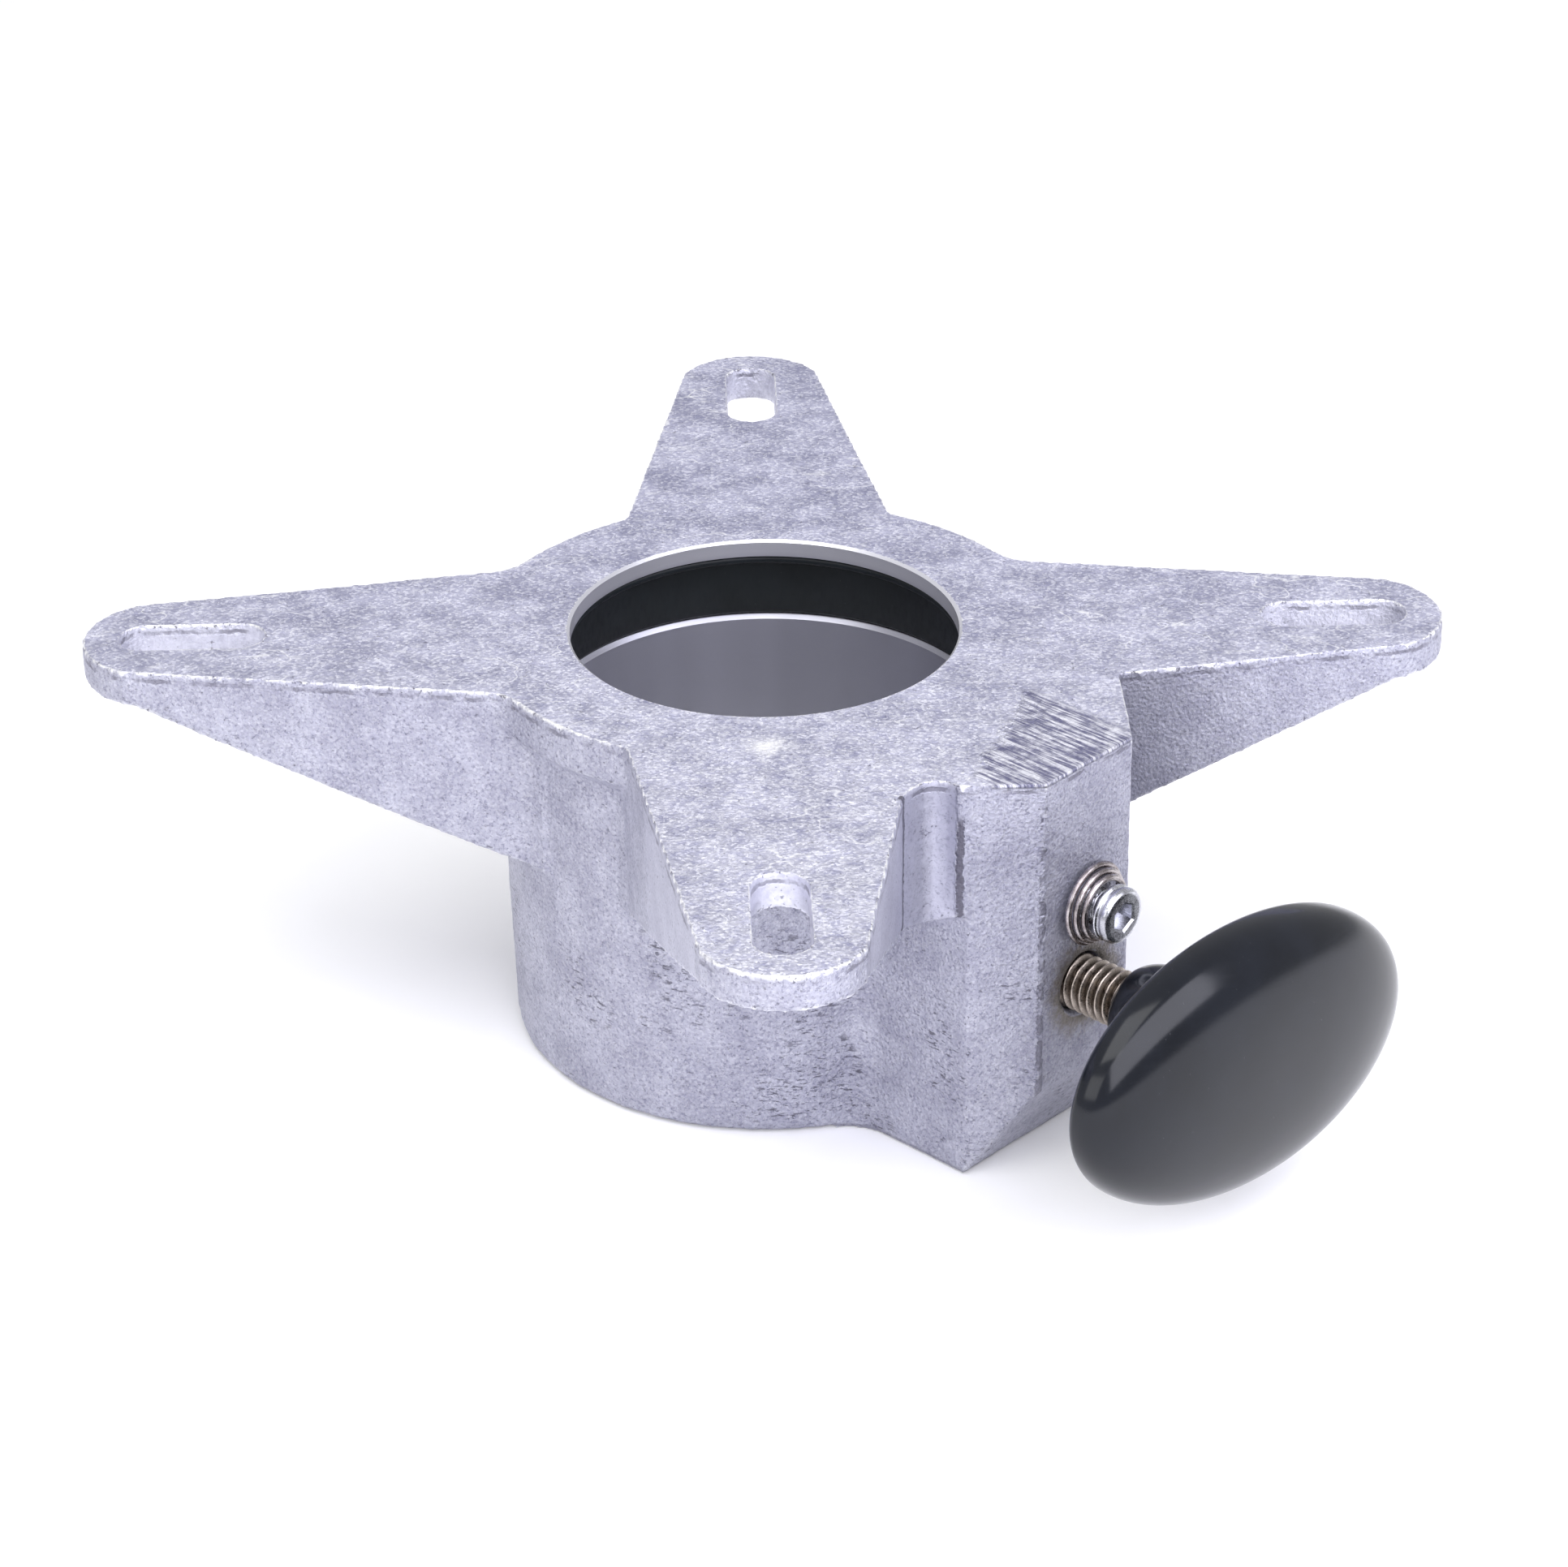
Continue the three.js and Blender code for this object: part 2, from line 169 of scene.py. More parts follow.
def lathe(name, profile, segments=128):
    """A solid of revolution about Z from (radius, z) pairs in mm, on the axis at both ends."""
    points = []
    faces = []
    rings = []
    for radius, z in profile:
        if radius <= 1e-6:
            rings.append([len(points)])
            points.append((0, 0, z * MM))
            continue
        ring = []
        for i in range(segments):
            angle = 2 * math.pi * i / segments
            ring.append(len(points))
            points.append((radius * MM * math.cos(angle), radius * MM * math.sin(angle), z * MM))
        rings.append(ring)
    for low, high in zip(rings, rings[1:]):
        for i in range(segments):
            j = (i + 1) % segments
            if len(low) == 1:
                faces.append((low[0], high[j], high[i]))
            elif len(high) == 1:
                faces.append((low[i], low[j], high[0]))
            else:
                faces.append((low[i], low[j], high[j], high[i]))
    return mesh_from(name, points, faces)


def ring_lathe(name, profile, segments=160):
    """A ring about Z whose closed section is the (radius, z) pairs in mm."""
    points = []
    faces = []
    count = len(profile)
    for i in range(segments):
        angle = 2 * math.pi * i / segments
        for radius, z in profile:
            points.append((radius * MM * math.cos(angle), radius * MM * math.sin(angle), z * MM))
    for i in range(segments):
        here = i * count
        following = ((i + 1) % segments) * count
        for k in range(count):
            m = (k + 1) % count
            faces.append((here + k, following + k, following + m, here + m))
    return mesh_from(name, points, faces)


def rounded(profile, radius, steps=4):
    """Rounds the inner corners of an open (radius, z) profile with short arcs."""
    result = [profile[0]]
    for before, corner, after in zip(profile, profile[1:], profile[2:]):
        at = Vector(corner)
        back = Vector(before) - at
        ahead = Vector(after) - at
        cut = min(radius, back.length * 0.45, ahead.length * 0.45)
        start = at + back.normalized() * cut
        end = at + ahead.normalized() * cut
        for i in range(steps + 1):
            t = i / steps
            point = start.lerp(at, t).lerp(at.lerp(end, t), t)
            result.append(tuple(point))
    result.append(profile[-1])
    return result


def boss_frame(height, roll=0.0):
    """The frame whose Z runs out along the clamp boss's axis at a height in mm."""
    turn = Matrix.Rotation(BOSS_TURN, 4, "Z")
    lift = Matrix.Translation((0, 0, height * MM))
    tip = Matrix.Rotation(math.pi / 2, 4, "Y")
    return turn @ lift @ tip @ Matrix.Rotation(roll, 4, "Z")


def combined(target, other, operation):
    step = target.modifiers.new("join", "BOOLEAN")
    step.operation = operation
    step.solver = "EXACT"
    step.object = other
    step.material_mode = "TRANSFER"
    settled(target)
    drop(other)


# ---------------------------------------------------------------- node graphs


class Graph:
    """A material's node tree, with short calls for the nodes used here."""

    def __init__(self, name):
        self.material = bpy.data.materials.new(name)
        self.material.use_nodes = True
        self.tree = self.material.node_tree
        self.tree.nodes.clear()
        self.output = self.tree.nodes.new("ShaderNodeOutputMaterial")
        self.shader = self.tree.nodes.new("ShaderNodeBsdfPrincipled")
        self.tree.links.new(self.shader.outputs[0], self.output.inputs[0])
        place = self.tree.nodes.new("ShaderNodeTexCoord")
        scale = self.tree.nodes.new("ShaderNodeVectorMath")
        scale.operation = "SCALE"
        scale.inputs["Scale"].default_value = 1000
        self.tree.links.new(place.outputs["Object"], scale.inputs[0])
        self.mm = scale.outputs[0]

    def put(self, socket, value):
        if isinstance(value, bpy.types.NodeSocket):
            self.tree.links.new(value, socket)
        else:
            socket.default_value = value

    def stretch(self, x, y, z):
        node = self.tree.nodes.new("ShaderNodeVectorMath")
        node.operation = "MULTIPLY"
        self.put(node.inputs[0], self.mm)
        node.inputs[1].default_value = (x, y, z)
        return node.outputs[0]

    def parts(self, source=None):
        node = self.tree.nodes.new("ShaderNodeSeparateXYZ")
        self.put(node.inputs[0], self.mm if source is None else source)
        return node.outputs

    def noise(self, size, detail=2.0, rough=0.5, source=None):
        """Noise whose features are about size mm across, from 0 to 1."""
        node = self.tree.nodes.new("ShaderNodeTexNoise")
        self.put(node.inputs["Vector"], self.mm if source is None else source)
        node.inputs["Scale"].default_value = 1 / size
        node.inputs["Detail"].default_value = detail
        node.inputs["Roughness"].default_value = rough
        return node.outputs["Fac"]

    def cells(self, size, output="Distance"):
        """Random cells about size mm across: the distance from their middles, or their colours."""
        node = self.tree.nodes.new("ShaderNodeTexVoronoi")
        self.put(node.inputs["Vector"], self.mm)
        node.inputs["Scale"].default_value = 1 / size
        return node.outputs[output]

    def math(self, operation, a, b=0.0):
        node = self.tree.nodes.new("ShaderNodeMath")
        node.operation = operation
        self.put(node.inputs[0], a)
        self.put(node.inputs[1], b)
        return node.outputs[0]

    def plus(self, a, b):
        return self.math("ADD", a, b)

    def minus(self, a, b):
        return self.math("SUBTRACT", a, b)

    def times(self, a, b):
        return self.math("MULTIPLY", a, b)

    def greater(self, a, b):
        return self.math("MAXIMUM", a, b)

    def inverse(self, value):
        return self.minus(1.0, value)

    def ragged(self, reach, size, detail=2.0, rough=0.5):
        """Noise about zero, half of reach to each side."""
        return self.times(self.minus(self.noise(size, detail, rough), 0.5), reach)

    def length(self, a, b):
        return self.math("SQRT", self.plus(self.times(a, a), self.times(b, b)))

    def remap(self, value, low, high, to_low=0.0, to_high=1.0):
        node = self.tree.nodes.new("ShaderNodeMapRange")
        node.interpolation_type = "SMOOTHSTEP"
        self.put(node.inputs["Value"], value)
        node.inputs["From Min"].default_value = low
        node.inputs["From Max"].default_value = high
        node.inputs["To Min"].default_value = to_low
        node.inputs["To Max"].default_value = to_high
        return node.outputs["Result"]

    def mix(self, share, a, b):
        node = self.tree.nodes.new("ShaderNodeMix")
        node.data_type = "RGBA"
        self.put(node.inputs["Factor"], share)
        self.put(node.inputs["A"], a if isinstance(a, bpy.types.NodeSocket) else (*a, 1))
        self.put(node.inputs["B"], b if isinstance(b, bpy.types.NodeSocket) else (*b, 1))
        return node.outputs["Result"]

    def attribute(self, name):
        node = self.tree.nodes.new("ShaderNodeAttribute")
        node.attribute_name = name
        return node.outputs["Fac"]

    def normal_z(self):
        node = self.tree.nodes.new("ShaderNodeNewGeometry")
        return self.parts(node.outputs["Normal"])["Z"]

    def bump(self, height, distance_mm, strength=1.0, normal=None):
        node = self.tree.nodes.new("ShaderNodeBump")
        node.inputs["Strength"].default_value = strength
        node.inputs["Distance"].default_value = distance_mm * MM
        self.put(node.inputs["Height"], height)
        if normal is not None:
            self.put(node.inputs["Normal"], normal)
        return node.outputs["Normal"]

    def finish(self, colour, roughness, metallic, normal=None, **fixed):
        inputs = self.shader.inputs
        self.put(inputs["Base Color"], colour)
        self.put(inputs["Roughness"], roughness)
        inputs["Metallic"].default_value = metallic
        if normal is not None:
            self.put(inputs["Normal"], normal)
        for name, value in fixed.items():
            inputs[name.replace("_", " ")].default_value = value
        return self.material


def away_from(graph, x, y):
    """The distance on plan from a point, in mm."""
    parts = graph.parts()
    return graph.length(graph.minus(parts["X"], x), graph.minus(parts["Y"], y))


def boss_parts(graph):
    """The position along the clamp boss's axis and across it, in mm."""
    parts = graph.parts()
    out = graph.times(graph.minus(parts["X"], parts["Y"]), math.sqrt(0.5))
    side = graph.times(graph.plus(parts["X"], parts["Y"]), math.sqrt(0.5))
    return out, side


def between(graph, value, low, high, soft):
    """1 where a value lies between two limits, falling to 0 over a soft margin."""
    return graph.times(graph.remap(value, low - soft, low), graph.remap(value, high, high + soft, 1.0, 0.0))


def inside_circle(graph, x, y, radius, soft):
    """1 inside a ragged circle on plan, in mm, and 0 outside it."""
    wavy = graph.plus(away_from(graph, x, y), graph.times(graph.noise(1.6, 3), soft))
    return graph.remap(wavy, radius, radius + soft, 1.0, 0.0)


def file_marks(graph):
    """Returns the filed area's mask beside the clamp boss and the marks' height, both from 0 to 1."""
    out, side = boss_parts(graph)
    slant = graph.plus(out, graph.times(side, 0.436))
    far = graph.remap(graph.plus(slant, graph.ragged(9.0, 3.2, 4, 0.65)), 51.0, 53.4)
    right = graph.remap(side, 10.5, 12.6, 1.0, 0.0)
    left = graph.remap(side, -17.0, -15.0)
    top = graph.remap(graph.parts()["Z"], CASTING_HEIGHT - 0.8, CASTING_HEIGHT - 0.4)
    area = graph.times(graph.times(far, right), graph.times(left, top))
    combine = graph.tree.nodes.new("ShaderNodeCombineXYZ")
    graph.put(combine.inputs[0], graph.times(out, 0.07))
    graph.put(combine.inputs[1], side)
    streaks = graph.noise(0.62, 4, 0.72, combine.outputs[0])
    return area, streaks


def smooth_walls(graph, upright):
    """The walls of the front arm and of the groove beside it, which the mould left smoother."""
    parts = graph.parts()
    wavy = graph.ragged(1.6, 2.0, 3, 0.6)
    across = between(graph, graph.plus(parts["X"], wavy), -19.5, 27.6, 0.5)
    along = between(graph, parts["Y"], -100, -47.5, 0.6)
    high = graph.remap(graph.plus(parts["Z"], graph.times(wavy, 1.5)), 43.0, 48.0)
    return graph.times(graph.times(graph.times(across, along), upright), high)


def painted_slot_light(graph, upright):
    """The walls of the four slots, brightened in patches: painted light falling into the slots from above.
    """
    parts = graph.parts()
    along_x = graph.math("ABSOLUTE", parts["X"])
    along_y = graph.math("ABSOLUTE", parts["Y"])

    def one_pair(along, across):
        length = between(graph, along, SLOT_NEAR, SLOT_FAR, 0.3)
        return graph.times(length, graph.remap(across, SLOT_HALF_WIDTH, SLOT_HALF_WIDTH + 0.2, 1.0, 0.0))

    patchy = graph.remap(graph.noise(1.2, 3, 0.6), 0.3, 0.6, 0.5, 1.0)
    both = graph.greater(one_pair(along_x, along_y), one_pair(along_y, along_x))
    return graph.times(graph.times(both, upright), patchy)


def upright_line(graph, place, width):
    """1 along a ragged upright line through a point on plan, in mm."""
    away = graph.plus(away_from(graph, *place), graph.ragged(2.0 * width, 1.1, 3, 0.7))
    return graph.remap(away, width * 0.6, width, 1.0, 0.0)


def edge_dirt_and_shade(graph, upright):
    """Dark specks along the edges, dark flash down the groove's edge, a broken dark line just under the top
    and a dark band at the foot of the walls, with painted shade down the groove's inner corner and, among
    dark spots, along the boss's corner.
    """
    parts = graph.parts()
    speckle = graph.noise(0.9, 3, 0.7)
    spots = graph.times(graph.remap(graph.attribute("edge"), 0.06, 0.25), graph.remap(speckle, 0.60, 0.66))
    gaps = graph.noise(4.0, 3, 0.6)
    height = graph.plus(parts["Z"], graph.times(graph.noise(1.3, 4, 0.7), 1.2))
    under = graph.times(between(graph, height, 70.0, 70.4, 0.3), upright)
    under = graph.times(under, graph.remap(gaps, 0.40, 0.60))
    foot = graph.times(graph.remap(height, 1.0, 1.5, 1.0, 0.0), upright)
    under = graph.greater(under, graph.times(foot, 0.7))
    flash = graph.times(upright_line(graph, GROOVE_EDGE, 0.85), between(graph, parts["Z"], 48.0, 64.0, 2.0))
    # Painted shade down the groove's inner corner.
    crevice_shade = graph.times(upright_line(graph, GROOVE_FOOT, 0.8), graph.remap(parts["Z"], 46.0, 48.0))
    # Partly painted shade, partly dark spots, in a broken line along the boss's corner.
    corner = graph.times(upright_line(graph, BOSS_CORNER, 0.8), graph.remap(gaps, 0.46, 0.54))
    lines = graph.greater(graph.greater(flash, crevice_shade), graph.times(corner, 0.7))
    specks_and_dark_bands = graph.greater(graph.times(spots, 0.8), graph.times(under, 0.6))
    return graph.greater(specks_and_dark_bands, graph.times(lines, 0.9))


def stud_stain(graph, upright):
    """Rust stain on the boss's face round the stud."""
    out, side = boss_parts(graph)
    rise = graph.minus(graph.parts()["Z"], STUD["height"])
    away = graph.plus(graph.length(side, rise), graph.ragged(8.0, 1.8, 4, 0.7))
    face = graph.times(graph.remap(out, BOSS_FACE - 1.2, BOSS_FACE - 0.6), upright)
    return graph.times(graph.remap(away, 5.8, 10.6, 1.0, 0.0), face)


def scuff_marks(graph):
    """Bright scuffs on the top: a few thin curved lines and rubbed patches."""
    drift = graph.remap(graph.noise(24.0, 2, 0.5), 0.49, 0.57)
    middle = graph.minus(graph.noise(17.0, 2, 0.5, graph.stretch(1.0, 1.9, 1.0)), 0.5)
    thin = graph.times(graph.remap(graph.math("ABSOLUTE", middle), 0.0, 0.008, 1.0, 0.0), drift)
    rubbed = graph.remap(graph.noise(4.5, 6, 0.75, graph.stretch(0.6, 1.5, 1.0)), 0.57, 0.70)
    return graph.greater(thin, graph.times(rubbed, 0.7))


def painted_web_shade(graph, upright):
    """Painted shade on the right arm's front web close to the boss, fading out towards its tip."""
    parts = graph.parts()
    near = graph.times(graph.remap(parts["X"], 47.0, 84.0, 1.0, 0.0), graph.remap(parts["X"], 44.0, 46.0))
    front = between(graph, parts["Y"], -30.0, -8.0, 1.0)
    return graph.times(graph.times(near, front), upright)


def drum_scars(graph, upright):
    """Dark pits and short level scratches low on the walls."""
    low = graph.remap(graph.parts()["Z"], 34.0, 42.0, 1.0, 0.0)
    patch = graph.remap(graph.noise(14.0, 2, 0.5), 0.48, 0.58)
    marks = graph.remap(graph.noise(0.9, 4, 0.72, graph.stretch(0.45, 0.45, 1.6)), 0.57, 0.63)
    return graph.times(graph.times(upright, low), graph.times(patch, marks))


# ---------------------------------------------------------------- materials


def cast_ground(graph, flat_top, smooth, lumps):
    """The casting's colour before any marks: a grainy top and walls with fine dark grit, both strewn with
    grain specks whose brightest are painted glints.
    """
    clouds = graph.noise(9.0, 6, 0.66)
    forward = graph.remap(graph.parts()["Y"], -100.0, 60.0, 0.55, 0.0)
    top = graph.mix(graph.remap(clouds, 0.37, 0.63), (0.40, 0.405, 0.56), (0.74, 0.745, 0.92))
    top = graph.mix(graph.times(forward, graph.remap(lumps, 0.3, 0.6)), top, (0.95, 0.95, 1.0))
    wall = graph.mix(graph.remap(clouds, 0.34, 0.66), (0.37, 0.37, 0.455), (0.485, 0.487, 0.575))
    grit = graph.remap(graph.noise(0.6, 5, 0.78), 0.51, 0.62)
    wall = graph.mix(graph.times(grit, 0.58), wall, (0.14, 0.14, 0.21))
    # Grain specks from dark to white; the white ones are painted glints, most of them on the top.
    cell_tone = graph.parts(graph.cells(0.44, "Color"))["X"]
    grain_and_glint = graph.mix(graph.math("POWER", cell_tone, 2.2), (0.15, 0.15, 0.24), (1.0, 1.0, 1.0))
    share = graph.plus(graph.times(flat_top, 0.28), 0.12)
    share = graph.times(share, graph.inverse(graph.times(smooth, 0.85)))
    tone = graph.mix(share, graph.mix(flat_top, wall, top), grain_and_glint)
    return graph.mix(graph.times(smooth, 0.35), tone, (0.56, 0.56, 0.66))


def cast_aluminium():
    graph = Graph("cast_aluminium")
    white = (1.0, 1.0, 1.0)
    grain = graph.noise(0.45, 3, 0.7)
    lumps = graph.noise(2.3, 3, 0.6)
    upward = graph.normal_z()
    flat_top = graph.remap(upward, 0.8, 0.97)
    upright = graph.remap(upward, 0.3, 0.6, 1.0, 0.0)
    area, streaks = file_marks(graph)
    smooth = smooth_walls(graph, upright)

    tone = cast_ground(graph, flat_top, smooth, lumps)
    # Painted light on the slot walls.
    tone = graph.mix(graph.times(painted_slot_light(graph, upright), 0.7), tone, (0.78, 0.78, 0.87))
    # Painted shade on the right arm's front web next to the boss.
    tone = graph.mix(graph.times(painted_web_shade(graph, upright), 0.72), tone, (0.13, 0.13, 0.17))
    scuffs = graph.times(graph.times(scuff_marks(graph), flat_top), 0.7)
    tone = graph.mix(scuffs, tone, (0.98, 0.98, 1.0))
    # Top edges turned white, more so higher up: partly wear, partly painted highlight.
    high = graph.remap(graph.parts()["Z"], 62.0, 69.0, 0.2, 1.0)
    edge_wear_and_highlight = graph.times(graph.remap(graph.attribute("edge"), 0.18, 0.42), high)
    broken = graph.remap(graph.noise(2.2, 5, 0.75), 0.34, 0.54)
    tone = graph.mix(graph.times(graph.times(edge_wear_and_highlight, broken), 0.97), tone, white)
    pits = graph.remap(graph.noise(0.85, 4, 0.68, graph.stretch(1.0, 1.0, 1.5)), 0.62, 0.69)
    # Dark pits, specks, flash and bands, with painted shade in two corners.
    dark = graph.greater(graph.times(pits, 0.6), edge_dirt_and_shade(graph, upright))
    dark = graph.greater(dark, graph.times(drum_scars(graph, upright), 0.85))
    tone = graph.mix(dark, tone, (0.12, 0.115, 0.15))
    facet_tone = graph.remap(graph.plus(streaks, graph.times(lumps, 0.35)), 0.57, 0.82)
    filed = graph.mix(facet_tone, (0.11, 0.11, 0.22), (0.92, 0.92, 0.98))
    tone = graph.mix(graph.times(area, 0.85), tone, filed)
    # A small white spot on the top in front of the bore.
    white_spot = graph.times(inside_circle(graph, *BRIGHT_SPOT, 2.0, 5.0), flat_top)
    tone = graph.mix(graph.times(white_spot, 0.95), tone, white)
    tone = graph.mix(graph.times(stud_stain(graph, upright), 0.85), tone, (0.20, 0.175, 0.14))

    rough = graph.minus(graph.remap(grain, 0.3, 0.7, 0.42, 0.62), graph.times(edge_wear_and_highlight, 0.12))
    relief = graph.plus(graph.times(grain, 0.9), graph.times(lumps, 0.8))
    relief = graph.plus(relief, graph.times(graph.cells(0.7), 0.6))
    relief = graph.times(relief, graph.inverse(graph.times(smooth, 0.8)))
    relief = graph.minus(relief, graph.times(dark, 0.9))
    shape = graph.bump(relief, 0.22, 1.0)
    shape = graph.bump(graph.times(streaks, area), 0.8, 1.0, shape)
    return graph.finish(tone, rough, 0.78, shape)


def machined_aluminium():
    graph = Graph("machined_aluminium")
    turning = graph.noise(0.30, 2, 0.6, graph.stretch(0.02, 0.02, 1.0))
    smear = graph.noise(22.0, 2, 0.5, graph.stretch(1.0, 1.0, 0.12))
    # Painted highlight on the lip at the top of the bore.
    painted_lip_highlight = graph.remap(graph.parts()["Z"], 67.0, 69.0)
    tone = graph.mix(graph.remap(smear, 0.35, 0.65), (0.44, 0.44, 0.50), (0.52, 0.52, 0.59))
    tone = graph.mix(painted_lip_highlight, tone, (0.72, 0.72, 0.77))
    rough = graph.remap(turning, 0.3, 0.7, 0.30, 0.38)
    shape = graph.bump(turning, 0.004, 0.5)
    return graph.finish(tone, rough, 0.8, shape)


def black_plastic(name, rough_low, rough_high, tint, shine):
    graph = Graph(name)
    haze = graph.noise(11.0, 4, 0.6)
    dust = graph.remap(graph.noise(0.5, 2, 0.6), 0.72, 0.78)
    tone = graph.mix(graph.remap(haze, 0.3, 0.7), tint, tuple(1.5 * c for c in tint))
    tone = graph.mix(graph.times(dust, 0.12), tone, (0.25, 0.25, 0.27))
    scuffs = graph.noise(0.6, 3, 0.7, graph.stretch(1.0, 0.08, 0.3))
    rough = graph.remap(scuffs, 0.35, 0.8, rough_low, rough_high)
    ripple = graph.noise(9.0, 1, 0.4)
    shape = graph.bump(ripple, 0.06, 0.4)
    return graph.finish(tone, rough, 0.0, shape, Specular_IOR_Level=shine)


def threaded_steel(name, root, crest, stain, metal):
    graph = Graph(name)
    parts = graph.parts()
    height = graph.remap(graph.length(parts["X"], parts["Y"]), root, crest)
    patches = graph.remap(graph.noise(2.4, 4, 0.65), 0.35, 0.7)
    clean = graph.times(height, graph.inverse(graph.times(patches, 0.45)))
    tone = graph.mix(clean, stain, metal)
    rough = graph.remap(graph.noise(0.4, 3, 0.6), 0.3, 0.7, 0.22, 0.42)
    shape = graph.bump(graph.noise(0.3, 3, 0.6, graph.stretch(0.2, 0.2, 1.0)), 0.03, 0.6)
    return graph.finish(tone, rough, 1.0, shape)


def drawn_steel(name, low, high, rough_low, rough_high):
    graph = Graph(name)
    patches = graph.noise(2.6, 3, 0.6)
    tone = graph.mix(graph.remap(patches, 0.35, 0.65), low, high)
    fine = graph.noise(0.25, 3, 0.6, graph.stretch(1.0, 1.0, 0.2))
    rough = graph.remap(fine, 0.3, 0.7, rough_low, rough_high)
    shape = graph.bump(fine, 0.012, 0.5)
    return graph.finish(tone, rough, 1.0, shape)


def natural_nylon():
    graph = Graph("natural_nylon")
    cloudy = graph.remap(graph.noise(1.8, 3), 0.3, 0.7)
    tone = graph.mix(cloudy, (0.74, 0.71, 0.60), (0.84, 0.82, 0.74))
    rough = graph.remap(graph.noise(0.5, 3), 0.3, 0.7, 0.42, 0.6)
    shape = graph.bump(graph.noise(0.4, 3), 0.03, 0.5)
    return graph.finish(tone, rough, 0.0, shape, Subsurface_Weight=0.15, Subsurface_Scale=0.001)


def floor_paper():
    graph = Graph("floor_paper")
    tone = graph.mix(graph.remap(graph.noise(4.0, 3), 0.3, 0.7), (0.93, 0.93, 0.935), (0.95, 0.95, 0.955))
    return graph.finish(tone, 0.9, 0.0, Emission_Color=(1, 1, 1, 1), Emission_Strength=0.1)


# ---------------------------------------------------------------- pieces


def plugged_casting():
    """The CAD casting with its bore filled, remeshed so that its cast edges can soften."""
    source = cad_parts["spider_casting"].data
    made = bmesh.new()
    made.from_mesh(source)
    height = cad_high.z - cad_low.z
    plug = bmesh.ops.create_cone(
        made,
        cap_ends=True,
        segments=96,
        radius1=PLUG_RADIUS * MM,
        radius2=PLUG_RADIUS * MM,
        depth=height,
    )
    bmesh.ops.translate(made, verts=plug["verts"], vec=(0, 0, cad_low.z + height / 2))
    mesh = bpy.data.meshes.new("casting_surface")
    made.to_mesh(mesh)
    made.free()
    mesh.materials.clear()
    casting = new_object("casting_surface", mesh)
    remesh = casting.modifiers.new("remesh", "REMESH")
    remesh.mode = "VOXEL"
    remesh.voxel_size = VOXEL
    smooth = casting.modifiers.new("soften", "SMOOTH")
    smooth.factor = 0.5
    smooth.iterations = 2
    settled(casting)
    return casting


def roughen(casting):
    """Cast unevenness in the surface itself, kept inside the CAD box."""
    mesh = casting.data
    count = len(mesh.vertices)
    places = np.empty(count * 3, np.float32)
    normals = np.empty(count * 3, np.float32)
    mesh.vertices.foreach_get("co", places)
    mesh.vertex_normals.foreach_get("vector", normals)
    places = places.reshape(-1, 3)
    normals = normals.reshape(-1, 3)
    shift = np.empty(count, np.float32)
    for i in range(count):
        at = Vector(places[i].tolist()) * 1000
        shift[i] = sum(
            height * noise.noise(at / size + GRAIN_SEED) for size, height in (BROAD_WAVES, FINE_WAVES)
        )
    flat = np.abs(normals[:, 2]) > 0.9
    shift[flat] *= FLAT_SHARE
    moved = places + normals * (shift[:, None] * MM - DRAWN_IN)
    moved = np.clip(moved, np.array(cad_low) + BOX_MARGIN, np.array(cad_high) - BOX_MARGIN)
    mesh.vertices.foreach_set("co", moved.astype(np.float32).ravel())
    mesh.update()


def bore_cutter():
    """The post's bore, the bushing's recess and the lip's opening, with small broken edges."""
    top = CASTING_HEIGHT
    recess = top - RECESS_DEPTH
    lip = top - LIP_THICKNESS
    profile = [
        (0, -1.0),
        (BORE_RADIUS + 2.0, -1.0),
        (BORE_RADIUS, 1.0),
        (BORE_RADIUS, recess - 0.7),
        (BORE_RADIUS + 0.7, recess),
        (RECESS_RADIUS, recess),
        (RECESS_RADIUS, lip),
        (LIP_RADIUS, lip),
        (LIP_RADIUS, top - 0.45),
        (LIP_RADIUS + 0.5, top),
        (LIP_RADIUS + 1.5, top + 1.0),
        (0, top + 1.0),
    ]
    return new_object("bore_cutter", lathe("bore_cutter", profile, 256))


def hole_cutter(radius, height):
    outside = BOSS_FACE + 0.8
    profile = [
        (0, 20.0),
        (radius, 20.0),
        (radius, BOSS_FACE - 0.8),
        (radius + 0.8, BOSS_FACE),
        (radius + 0.8, outside),
        (0, outside),
    ]
    return new_object("hole_cutter", lathe("hole_cutter", profile, 64), boss_frame(height))


def mark_edges(mesh):
    """Stores how sharply each point stands proud of its neighbours, for wear and painted highlights on the
    edges.
    """
    count = len(mesh.vertices)
    places = np.empty(count * 3)
    normals = np.empty(count * 3)
    pairs = np.empty(len(mesh.edges) * 2, np.int64)
    mesh.vertices.foreach_get("co", places)
    mesh.vertex_normals.foreach_get("vector", normals)
    mesh.edges.foreach_get("vertices", pairs)
    places = places.reshape(-1, 3)
    normals = normals.reshape(-1, 3)
    pairs = pairs.reshape(-1, 2)
    number = np.bincount(pairs.ravel(), minlength=count).astype(float)

    def average(values):
        total = np.zeros_like(values)
        np.add.at(total, pairs[:, 0], values[pairs[:, 1]])
        np.add.at(total, pairs[:, 1], values[pairs[:, 0]])
        share = number if values.ndim == 1 else number[:, None]
        return total / np.maximum(share, 1)

    proud = ((places - average(places)) * normals).sum(1) / EDGE_BEND
    proud = np.clip(proud, -1, 1)
    for _ in range(2):
        proud = 0.5 * proud + 0.5 * average(proud)
    layer = mesh.attributes.new("edge", "FLOAT", "POINT")
    layer.data.foreach_set("value", np.clip(proud, 0, 1).astype(np.float32))


